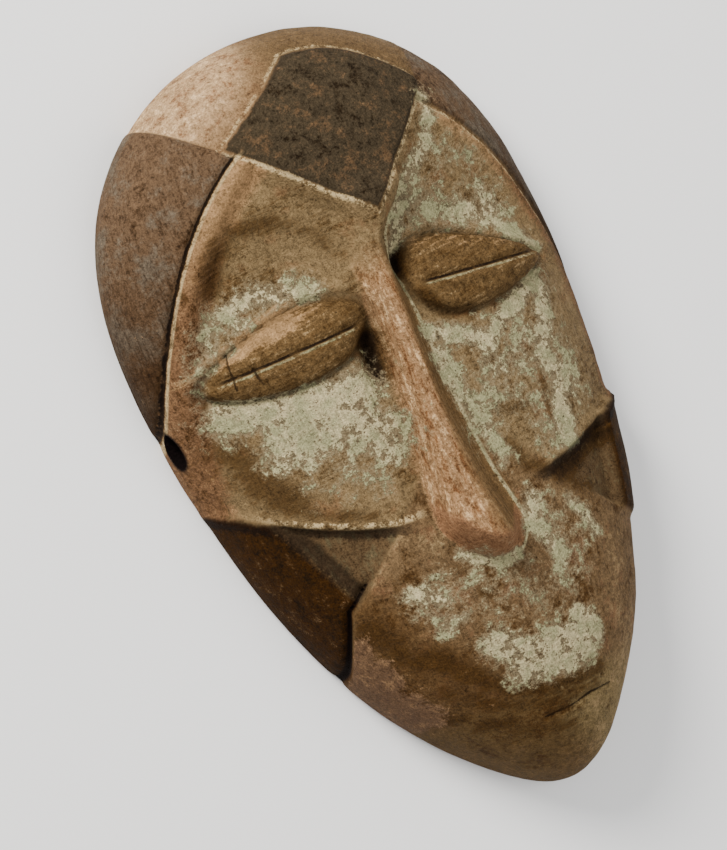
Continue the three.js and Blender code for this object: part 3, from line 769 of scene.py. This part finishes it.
class Paint:
    """Short names for the shader nodes that the wood is painted with."""

    def __init__(self, name):
        self.material = bpy.data.materials.new(name)
        self.material.use_nodes = True
        self.tree = self.material.node_tree
        self.shader = self.tree.nodes["Principled BSDF"]
        coordinates = self.node("TexCoord")
        self.place = self.vector("MULTIPLY", coordinates["Object"], (1 / MM, 1 / MM, 1 / MM))

    def link(self, value, socket):
        """Gives a socket a number, a colour, a vector or another node's output."""
        if isinstance(value, (int, float)):
            socket.default_value = value
        elif isinstance(value, tuple):
            socket.default_value = value if socket.type == "VECTOR" else (*value, 1.0)
        else:
            self.tree.links.new(value, socket)

    def node(self, kind, inputs=(), **settings):
        """The outputs of a new node whose settings and inputs are given."""
        node = self.tree.nodes.new("ShaderNode" + kind)
        for name, value in settings.items():
            setattr(node, name, value)
        for name, value in dict(inputs).items():
            self.link(value, node.inputs[name])
        return node.outputs

    def read(self, name):
        return self.node("Attribute", attribute_name=name)["Fac"]

    def math(self, operation, a, b=0.0, clamp=False):
        return self.node("Math", {0: a, 1: b}, operation=operation, use_clamp=clamp)[0]

    def add(self, a, b):
        return self.math("ADD", a, b)

    def times(self, a, b):
        return self.math("MULTIPLY", a, b)

    def most(self, *values):
        return functools.reduce(functools.partial(self.math, "MAXIMUM"), values)

    def least(self, a, b):
        return self.math("MINIMUM", a, b)

    def rise(self, value, low, high, to=1.0):
        """0 below low, to above high, smooth between; low may be the larger one."""
        flipped = low > high
        ends = {
            "Value": value,
            "From Min": min(low, high),
            "From Max": max(low, high),
            "To Min": to if flipped else 0.0,
            "To Max": 0.0 if flipped else to,
        }
        return self.node("MapRange", ends, interpolation_type="SMOOTHSTEP")["Result"]

    def grain(self, size, detail=3.0, roughness=0.6, stretch=(1.0, 1.0, 1.0)):
        """Noise from about -1 to 1 whose humps are about size millimetres apart."""
        place = self.vector("MULTIPLY", self.place, tuple(1 / s for s in stretch))
        inputs = {"Vector": place, "Scale": 1 / size, "Detail": detail, "Roughness": roughness}
        return self.times(self.add(self.node("TexNoise", inputs)["Fac"], -0.5), NOISE_GAIN)

    def pits(self, size):
        """Distance to the nearest of scattered points, in cells of size millimetres."""
        return self.node("TexVoronoi", {"Vector": self.place, "Scale": 1 / size})["Distance"]

    def vector(self, operation, a, b):
        """A vector sum whose result is a vector, or a number for a dot product or a distance."""
        outputs = self.node("VectorMath", {0: a, 1: b}, operation=operation)
        return outputs["Value" if operation in ("DOT_PRODUCT", "DISTANCE") else "Vector"]

    def flat_vector(self, x, y):
        return self.node("CombineXYZ", {"X": x, "Y": y})["Vector"]

    def to_line(self, line):
        """The distance to a line in the face drawing, in millimetres."""
        here = self.flat_vector(self.read("across_face"), self.read("up_face"))
        nearest = FAR_OFF
        for (ax, ay), (bx, by) in zip(line, line[1:]):
            span = (bx - ax, by - ay, 0.0)
            share = tuple(part / (span[0] ** 2 + span[1] ** 2) for part in span)
            start = self.vector("SUBTRACT", here, (ax, ay, 0.0))
            along = self.math("ADD", self.vector("DOT_PRODUCT", start, share), 0.0, clamp=True)
            foot = self.flat_vector(self.times(along, span[0]), self.times(along, span[1]))
            nearest = self.least(self.vector("DISTANCE", start, foot), nearest)
        return nearest

    def mix(self, a, b, share, blend="MIX"):
        inputs = {"Factor": share, "A": a, "B": b}
        return self.node("Mix", inputs, data_type="RGBA", blend_type=blend)["Result"]


def colour(red, green, blue):
    """A colour given as screen values from 0 to 255, turned to linear light."""
    def linear(value):
        share = value / 255
        return share / 12.92 if share <= 0.04045 else ((share + 0.055) / 1.055) ** 2.4
    return linear(red), linear(green), linear(blue)


WOOD_TAN = colour(123, 102, 72)
WOOD_DARK = colour(67, 45, 22)
WOOD_RED = colour(110, 76, 49)
CROWN_PALE = colour(195, 165, 129)
CROWN_TAN = colour(158, 129, 95)
CROWN_DARK = colour(84, 66, 43)
CROWN_RED = colour(125, 89, 61)
CROWN_BROWN = colour(108, 83, 57)
BORDER_RED = colour(99, 72, 49)
BORDER_LIGHT = colour(147, 116, 80)
NOSE_PINK = colour(134, 103, 72)
NOSE_PALE = colour(182, 150, 110)
NOSE_RED = colour(93, 59, 33)
NOSE_FLANK = colour(91, 70, 43)
NOSE_END = colour(121, 87, 61)
SOCKET_BROWN = colour(110, 91, 63)
SOCKET_DARK = colour(72, 52, 27)
EYE_BROWN = colour(87, 67, 41)
FOREHEAD_BLACK = colour(57, 48, 35)
FOREHEAD_BROWN = colour(78, 59, 40)
TEMPLE_BROWN = colour(86, 67, 49)
TEMPLE_GREY = colour(84, 75, 63)
TEMPLE_DARK = colour(39, 22, 5)
JAW_BROWN = colour(78, 61, 41)
JAW_OLIVE = colour(72, 64, 45)
JAW_BLACK = colour(29, 18, 5)
BAND_BROWN = colour(45, 26, 5)
MUZZLE_TAN = colour(97, 77, 53)
MUZZLE_RED = colour(99, 71, 49)
MUZZLE_BROWN = colour(65, 43, 18)
CHIN_OLIVE = colour(108, 91, 61)
# The brown of stains, and of painted shade in the pits, on the left socket's upper wall and under the
# chin
STAIN_AND_SHADE_BROWN = colour(53, 34, 10)
CLAY_WHITE = colour(173, 160, 123)
CLAY_GREEN = colour(132, 129, 96)
# Cream: clay, a pale worn edge, and the painted highlight beside the ring's groove
CREAM_CLAY_AND_HIGHLIGHT = colour(169, 148, 110)
CLAY_WASH = colour(125, 112, 87)
CLAY_PINK = colour(89, 67, 49)
# Near black: dirt in the pores and ear holes, painted shadow in the pits, the creases and the chin
# groove, and the dark lines of the other grooves, the slits and the cracks
DIRT_AND_SHADE = colour(10, 5, 5)
HOLLOW_BROWN = colour(99, 76, 51)
PORE_SPACING = 1.3
CRACK_PAINT = (0.26, 0.08)  # how far from a crack's line its dirt begins, and where it is full
# How rough the wood and the clay are, how much that varies, and how little the mask shines
DULLNESS = 0.74
CLAY_DULLNESS = 0.95
DULLNESS_SPREAD = 0.12
SHINE = 0.04
# Where in the grain the patches of a mottled colour begin and are full, and how strong they are
PATCH = dict(start=0.05, full=0.55, strength=0.9)


class Wood(Paint):
    """The mask's own grains of noise, and the ways its colours are laid on with them."""

    def __init__(self):
        super().__init__("carved wood")
        self.broad = self.grain(9.0, 2.0)
        self.patchy = self.grain(3.0, 5.0, 0.7)
        self.speckle = self.grain(0.9, 4.0, 0.75)
        self.fine = self.grain(0.3, 2.0, 0.75)
        self.fibres = self.grain(0.5, 4.0, 0.75, stretch=(1.0, 12.0, 1.0))
        self.streaks = self.grain(1.3, 5.0, 0.75, stretch=(1.0, 10.0, 1.0))
        self.scrapes = self.grain(0.6, 4.0, 0.75, stretch=(9.0, 1.0, 3.0))
        self.ragged = self.blend((self.patchy, 0.55), (self.speckle, 0.45), (self.fine, 0.2))
        self.flaky = self.blend((self.patchy, 0.85), (self.speckle, 0.4), (self.fine, 0.12))
        self.coarse = self.blend((self.broad, 0.6), (self.patchy, 0.5), (self.speckle, 0.35))
        self.gritty = self.blend((self.patchy, 0.7), (self.speckle, 0.5), (self.fine, 0.3))
        self.weathered = self.blend((self.gritty, 0.7), (self.streaks, 0.5))

    def blend(self, *parts):
        """The sum of values, each with its weight."""
        return functools.reduce(self.add, [self.times(value, weight) for value, weight in parts])

    def rough(self, name, grain, weight):
        """A named value, made uneven by a grain."""
        return self.add(self.read(name), self.times(grain, weight))

    def inside(self, name, softness=0.35, raggedness=0.6):
        """A form's own area, with a slightly ragged edge."""
        return self.rise(self.rough(name, self.ragged, raggedness), -softness, softness)

    def mottled(self, first, second, third, grain=None, middle=0.0):
        """Three colours in patches: the second in the dark half of the grain, the third in the light."""
        grain = self.patchy if grain is None else grain
        start, full, strength = PATCH["start"], PATCH["full"], PATCH["strength"]
        base = self.mix(first, second, self.rise(grain, middle - start, middle - full, strength))
        return self.mix(base, third, self.rise(grain, middle + start, middle + full, strength))

    def line(self, name, middle, half_width, place, raggedness=0.25):
        """A thin line along one level of a distance, where it has its place."""
        off = self.math("ABSOLUTE", self.add(self.rough(name, self.ragged, raggedness), -middle))
        return self.times(self.rise(off, half_width, 0.4 * half_width), self.read(place))

    # Breaks up worn clay lines, dirt, painted shade and the painted highlight alike
    def broken_by_grain(self, value, low, high, share=1.0):
        """A share that comes and goes with the grain."""
        return self.times(value, self.add(self.rise(self.ragged, low, high, share), 1.0 - share))


def paint_crown(p):
    weathering = p.blend((p.patchy, 0.8), (p.speckle, 0.5))
    base = p.mottled(CROWN_TAN, CROWN_RED, CROWN_PALE, weathering, 0.05)
    base = p.mix(base, CROWN_BROWN, p.rise(p.rough("forehead", p.coarse, 2.0), -6.0, -1.0, 0.85))
    return p.mix(base, CROWN_DARK, p.rise(p.rough("across_face", p.coarse, 4.0), -11.0, 0.0, 0.9))


def paint_face(p, base):
    """Inside the ring: the brown sockets and cheeks, the reddish border and the eyes, with a painted
    highlight on the upper lids.
    """
    face = p.mottled(SOCKET_BROWN, SOCKET_DARK, WOOD_TAN, p.blend((p.coarse, 0.7), (p.scrapes, 0.5)))
    face = p.mix(face, WOOD_RED, p.rise(p.grain(5.0, 4.0), 0.1, 0.7, 0.5))
    base = p.mix(base, face, p.inside("face", 0.3, 0.3))
    border = p.mottled(BORDER_RED, WOOD_DARK, BORDER_LIGHT, p.weathered, 0.1)
    border = p.mix(border, BORDER_LIGHT, p.rise(p.rough("up_face", p.coarse, 5.0), 28.0, 40.0, 0.7))
    base = p.mix(base, border, p.inside("border", 0.9, 1.6))
    scraped = p.blend((p.gritty, 0.7), (p.scrapes, 0.7))
    eye = p.mottled(EYE_BROWN, SOCKET_DARK, WOOD_TAN, scraped, 0.1)
    base = p.mix(base, eye, p.inside("eye", 0.3, 0.5))
    # A painted highlight along the upper lid of each eye, broken up by the grain
    lid_highlight_breakup = p.blend((p.scrapes, 0.5), (p.ragged, 0.4))
    return p.mix(base, BORDER_LIGHT, p.rise(p.add(p.read("lid"), lid_highlight_breakup), 0.35, 0.85, 0.8))


def paint_nose(p, base):
    """Pale and pink on its ridge, dark on its right flank from dark paint and painted shade, and reddish
    at its end.
    """
    streaky = p.blend((p.streaks, 1.2), (p.speckle, 0.5))
    nose = p.mottled(NOSE_PINK, NOSE_RED, NOSE_PALE, streaky, 0.05)
    nose = p.mix(nose, NOSE_RED, p.rise(p.fibres, 0.1, 0.9, 0.6))
    # The right flank: dark paint with painted shade
    nose = p.mix(nose, NOSE_FLANK, p.rise(p.rough("nose_flank", p.gritty, 1.6), -1.6, 2.2, 0.85))
    nose = p.mix(nose, NOSE_END, p.rise(p.rough("nose_end", p.gritty, 1.0), 0.9, -0.6, 0.85))
    below_root = p.rise(p.rough("up_face", p.coarse, 4.0), 31.0, 20.0)
    return p.mix(base, nose, p.times(p.inside("nose", 0.8, 1.4), below_root))


def paint_muzzle(p, base):
    muzzle = p.mottled(MUZZLE_TAN, MUZZLE_BROWN, WOOD_TAN, p.coarse)
    muzzle = p.mix(muzzle, MUZZLE_RED, p.rise(p.grain(4.5, 4.0, 0.7), 0.05, 0.6, 0.8))
    chin = p.mottled(CHIN_OLIVE, MUZZLE_BROWN, WOOD_TAN, p.coarse)
    muzzle = p.mix(muzzle, chin, p.rise(p.rough("up_face", p.coarse, 3.0), -43.0, -49.0))
    # Darker towards the lower left: partly the wood's own colour, partly painted shade
    low_left = p.add(p.rough("up_face", p.read("across_face"), 1.3), p.times(p.coarse, 4.0))
    muzzle = p.mix(muzzle, MUZZLE_BROWN, p.rise(low_left, -38.0, -50.0, 0.7))
    off_nose = p.rise(p.read("nose"), 0.2, -0.2)
    return p.mix(base, muzzle, p.least(p.inside("muzzle", 0.8), off_nose))


def paint_dark_panels(p, base):
    """The forehead, the temples, and the facets and bands of the jaw."""
    sooty = p.blend((p.coarse, 0.5), (p.gritty, 0.5))
    forehead = p.mottled(FOREHEAD_BLACK, JAW_BLACK, FOREHEAD_BROWN, sooty)
    base = p.mix(base, forehead, p.inside("forehead", 0.25, 0.7))
    temple = p.mottled(TEMPLE_BROWN, TEMPLE_DARK, TEMPLE_GREY, p.coarse, -0.15)
    temple = p.mix(temple, TEMPLE_DARK, p.rise(p.fibres, 0.1, -0.7, 0.55))
    temple = p.mix(temple, TEMPLE_DARK, p.rise(p.rough("up_face", p.coarse, 8.0), 48.0, 8.0, 0.95))
    base = p.mix(base, temple, p.inside("temple", 0.25, 0.5))
    facet = p.mottled(JAW_BROWN, JAW_BLACK, JAW_OLIVE, p.weathered, -0.1)
    band = p.mottled(BAND_BROWN, JAW_BLACK, JAW_BROWN, p.weathered, 0.1)
    facet = p.mix(facet, band, p.rise(p.read("band"), -0.2, 0.8))
    return p.mix(base, facet, p.inside("jaw", 0.4, 0.6))


def paint_stains_shade_and_highlight(p, base):
    """Brown stains with painted shade, a painted highlight on the crest beside the ring's groove, the
    pale worn edge of the forehead, and the pinkish clay of the chin.
    """
    streaky = p.blend((p.flaky, 0.7), (p.scrapes, 0.5))
    stain_and_shade = p.rise(p.rough("stain_and_shade", streaky, 0.9), 0.3, 1.0, 0.8)
    stain_and_shade = p.times(stain_and_shade, p.rise(p.read("stain_and_shade"), 0.03, 0.2))
    base = p.mix(base, STAIN_AND_SHADE_BROWN, stain_and_shade)
    # Near black where the strokes are strongest: chiefly the painted shadow deep in the pits at the
    # eyes' inner corners
    base = p.mix(base, DIRT_AND_SHADE, p.rise(p.read("stain_and_shade"), 1.0, 1.6, 0.8))
    # A painted highlight on the crest beside the ring's groove on the left, and the pale worn edge of
    # the forehead
    pale = p.broken_by_grain(p.line("ring", 0.55, 0.35, "on_left", 0.2), -0.5, 0.1, 0.7)
    pale = p.most(pale, p.broken_by_grain(p.line("forehead", -0.5, 0.35, "skin", 0.5), -0.2, 0.4))
    base = p.mix(base, CREAM_CLAY_AND_HIGHLIGHT, p.times(pale, 0.7))
    pink = p.mix(CLAY_PINK, BORDER_LIGHT, p.rise(p.ragged, 0.0, 0.6, 0.4))
    return p.mix(base, pink, p.rise(p.rough("pink_clay", p.ragged, 0.9), 0.35, 0.65, 0.9))


def paint_clay(p, base):
    """White clay where it has stayed, with a thin wash round it. Gives also where it is thick."""
    near_clay = p.rise(p.read("clay"), 0.03, 0.2)
    wash = p.rise(p.rough("clay", p.flaky, 0.9), 0.15, 0.6, 0.75)
    base = p.mix(base, CLAY_WASH, p.times(wash, near_clay))
    thick = p.times(p.rise(p.rough("clay", p.flaky, 1.4), 0.55, 0.75, 0.92), near_clay)
    foot = p.broken_by_grain(p.line("nose_foot", 0.2, 0.45, "beside_nose", 0.4), -0.5, 0.0, 0.8)
    slit_edge = p.broken_by_grain(p.line("over_slit", -0.5, 0.25, "on_slit", 0.25), -0.2, 0.2, 0.9)
    thick = p.most(thick, p.times(foot, 0.8), p.times(slit_edge, 0.7))
    flaked_off = p.add(p.pits(0.7), p.times(p.patchy, 0.15))
    thick = p.times(thick, p.rise(flaked_off, 0.12, 0.22))
    greenish = p.rise(p.add(p.patchy, p.times(p.broad, 0.5)), -0.4, 0.4)
    base = p.mix(base, p.mix(CLAY_WHITE, CLAY_GREEN, greenish), thick)
    cream = p.most(
        p.line("brow", 0.4, 0.5, "on_brow", 0.7),
        p.line("ring", 0.7, 0.5, "on_right", 0.4),
        p.line("ridge", -0.5, 0.7, "on_ridge", 0.7),
    )
    return p.mix(base, CREAM_CLAY_AND_HIGHLIGHT, p.times(p.broken_by_grain(cream, -0.15, 0.1), 0.9)), thick


def paint_dirt_and_shade(p, base):
    """Painted shadow in the creases round the eyes and along the jaw, inside the forehead's edge and in
    the chin groove; dark lines in the ring's groove, the slits, under the cheek ridges and in the
    cracks; dirt in the pores and the ear holes.
    """
    # A dark line round each eye: painted shade in the crease round the lens
    round_eye = p.times(p.line("eye", 0.0, 0.6, "skin", 0.5), 0.45)
    # A dark line just inside the forehead's edge: painted shadow
    forehead_edge = p.times(p.line("forehead", 0.3, 0.5, "skin", 0.5), 0.5)
    groove = p.most(
        p.line("ring", 0.0, 0.3, "on_left"),
        p.times(p.line("ring", 0.0, 0.5, "on_right"), 0.4),
        p.broken_by_grain(p.line("over_slit", 0.0, 0.3, "on_slit", 0.22), -0.4, 0.1, 0.7),
        p.times(p.line("ridge", 0.8, 1.3, "under_ridge", 0.8), 0.7),
        p.broken_by_grain(round_eye, -0.4, 0.2, 0.7),
        # Painted shadow of the ridge along the jaw's crease
        p.times(p.line("band", -0.6, 1.5, "on_crease", 1.2), 0.7),
        # Painted shadow in the chin groove
        p.rise(p.read("chin_groove"), 0.45, 0.8),
        p.broken_by_grain(forehead_edge, -0.3, 0.4),
    )
    groove = p.broken_by_grain(groove, -0.7, -0.1, 0.5)
    for crack in CRACKS:
        near = p.rise(p.add(p.to_line(crack), p.times(p.speckle, 0.2)), *CRACK_PAINT, 0.9)
        groove = p.most(groove, p.broken_by_grain(near, -0.4, 0.1, 0.7))
    base = p.mix(base, DIRT_AND_SHADE, p.times(groove, 0.92))
    pores = p.times(p.rise(p.pits(PORE_SPACING), 0.14, 0.07), p.rise(p.patchy, -0.1, 0.5, 0.7))
    return p.mix(base, DIRT_AND_SHADE, p.most(pores, p.read("ear_hole")))


def paint_back(p, base):
    """The hollow and the underside of the rim are plain dark wood."""
    long_grain = p.grain(2.0, 4.0, stretch=(1.0, 6.0, 1.0))
    plain = p.mix(HOLLOW_BROWN, WOOD_DARK, p.rise(long_grain, -0.4, 0.4))
    return p.mix(plain, base, p.rise(p.read("skin"), 0.3, 0.7))


def surface_height(p, thick):
    """The bump: clay stands up, fibres and specks are uneven, and pores are sunk."""
    pores = p.rise(p.pits(PORE_SPACING), 0.02, 0.2)
    return p.blend((thick, 0.16), (p.fine, 0.05), (p.speckle, 0.12), (p.fibres, 0.08), (pores, 0.06))


def wood_material():
    p = Wood()
    base = paint_crown(p)
    for paint_part in (paint_face, paint_nose, paint_muzzle, paint_dark_panels, paint_stains_shade_and_highlight):
        base = paint_part(p, base)
    base, thick = paint_clay(p, base)
    base = paint_back(p, paint_dirt_and_shade(p, base))
    shade = p.blend((p.fine, 0.6), (p.speckle, 0.5), (p.fibres, 0.3), (p.patchy, 0.25))
    base = p.mix(base, p.add(shade, 1.0), 1.0, blend="MULTIPLY")
    p.link(base, p.shader.inputs["Base Color"])
    dull = p.add(p.times(p.speckle, DULLNESS_SPREAD), DULLNESS)
    p.link(p.most(dull, p.times(thick, CLAY_DULLNESS)), p.shader.inputs["Roughness"])
    p.shader.inputs["Specular IOR Level"].default_value = SHINE
    bumps = p.node("Bump", {"Distance": MM, "Strength": 1.0, "Height": surface_height(p, thick)})
    p.link(bumps["Normal"], p.shader.inputs["Normal"])
    return p.material


def make_mask():
    piece = mesh_object("carved_mask", *blank_mesh())
    cut_ear_holes(piece)
    carve(piece)
    for polygon in piece.data.polygons:
        polygon.use_smooth = True
    piece.data.materials.clear()
    piece.data.materials.append(wood_material())
    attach(piece, "root")
    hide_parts("mask")


# The camera stands where the photograph was taken: how far it is turned round the mask's long axis,
# tipped towards the top of the head and rolled, and how many pixels a millimetre takes
CAMERA = dict(turn=21.3, tip=8.1, roll=-25.8, scale=6.26, distance=600.0)
PHOTO_SIZE = (727, 850)
MIDDLE_IN_PHOTO = (393.74, 419.25)
SENSOR = 36.0


def place_camera():
    """Sets the camera and gives the directions right, up and back that it has."""
    turn, tip, roll = (math.radians(CAMERA[k]) for k in ("turn", "tip", "roll"))
    back = Vector((-math.sin(turn) * math.cos(tip), math.sin(tip), math.cos(turn) * math.cos(tip)))
    level = Vector((math.cos(turn), 0.0, math.sin(turn)))
    upright = back.cross(level)
    right = level * math.cos(roll) + upright * math.sin(roll)
    up = upright * math.cos(roll) - level * math.sin(roll)
    width, height = PHOTO_SIZE
    data = bpy.data.cameras.new("camera")
    data.sensor_fit = "VERTICAL"
    data.sensor_height = SENSOR
    data.lens = CAMERA["scale"] * CAMERA["distance"] / height * SENSOR
    data.shift_x = (width / 2 - MIDDLE_IN_PHOTO[0]) / height
    data.shift_y = (MIDDLE_IN_PHOTO[1] - height / 2) / height
    camera = bpy.data.objects.new("camera", data)
    camera.matrix_world = Matrix((right, up, back)).transposed().to_4x4()
    camera.location = back * CAMERA["distance"] * MM
    bpy.context.scene.collection.objects.link(camera)
    bpy.context.scene.camera = camera
    return right, up, back


# The studio: a pale floor, an even pale surround, and two soft lights, placed by how far they stand
# to the right of the camera's view, above its middle and back towards the camera
FLOOR_HALF = 1500.0
FLOOR_GREY = 0.9
FLOOR_DULLNESS = 0.9
SURROUND_STRENGTH = 0.65
LIGHT_DISTANCE = 0.8
LIGHTS = {
    "key": dict(right=-0.5, up=0.6, back=0.8, size=0.35, power=12.5, tint=(1.0, 0.97, 0.92)),
    "fill": dict(right=0.8, up=-0.1, back=0.6, size=0.8, power=3.5, tint=(1.0, 0.99, 0.97)),
}


def soft_light(name, right, up, back):
    form = LIGHTS[name]
    direction = right * form["right"] + up * form["up"] + back * form["back"]
    data = bpy.data.lights.new(name, "AREA")
    data.shape = "DISK"
    data.size = form["size"]
    data.energy = form["power"]
    data.color = form["tint"]
    light = bpy.data.objects.new(name, data)
    light.location = direction.normalized() * LIGHT_DISTANCE
    light.rotation_mode = "QUATERNION"
    light.rotation_quaternion = direction.to_track_quat("Z", "Y")
    bpy.context.scene.collection.objects.link(light)


def make_floor():
    corners = [(-1, -1, 0), (1, -1, 0), (1, 1, 0), (-1, 1, 0)]
    floor = mesh_object("floor", FLOOR_HALF * np.array(corners, float), [(0, 1, 2, 3)])
    pale = bpy.data.materials.new("pale floor")
    pale.use_nodes = True
    shader = pale.node_tree.nodes["Principled BSDF"]
    shader.inputs["Base Color"].default_value = (FLOOR_GREY, FLOOR_GREY, FLOOR_GREY, 1.0)
    shader.inputs["Roughness"].default_value = FLOOR_DULLNESS
    floor.data.materials.append(pale)


def make_studio():
    make_floor()
    world = bpy.data.worlds.new("studio")
    world.use_nodes = True
    surround = world.node_tree.nodes["Background"]
    surround.inputs["Color"].default_value = (1.0, 1.0, 1.0, 1.0)
    surround.inputs["Strength"].default_value = SURROUND_STRENGTH
    bpy.context.scene.world = world
    directions = place_camera()
    for name in LIGHTS:
        soft_light(name, *directions)


make_mask()
make_studio()

bpy.context.view_layer.update()
